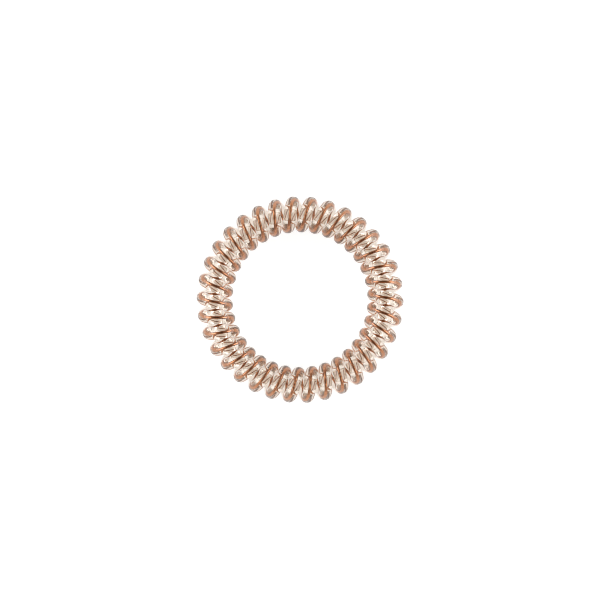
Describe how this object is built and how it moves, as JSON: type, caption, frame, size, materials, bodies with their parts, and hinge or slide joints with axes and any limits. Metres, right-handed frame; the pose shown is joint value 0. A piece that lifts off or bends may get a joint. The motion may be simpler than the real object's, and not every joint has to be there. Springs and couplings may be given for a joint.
{
  "type": "spiral hair tie",
  "caption": "Closed ring of a tightly coiled clear plastic strand with a copper-coloured metallic core, worn round a ponytail or a wrist.",
  "frame": {"origin": "centre of the ring, on the surface that it lies on", "axes": "+Z up through the ring's opening; +Y is up and +X right in the picture, which looks straight down"},
  "size_m": [0.05, 0.0498, 0.0088],
  "materials": {
    "clear_plastic": "clear, smooth and glossy",
    "copper_metallic": "metallic copper pigment, shiny"
  },
  "bodies": {
    "root": {"clear_strand": "clear_plastic", "metallic_core": "copper_metallic"}
  },
  "joints": []
}
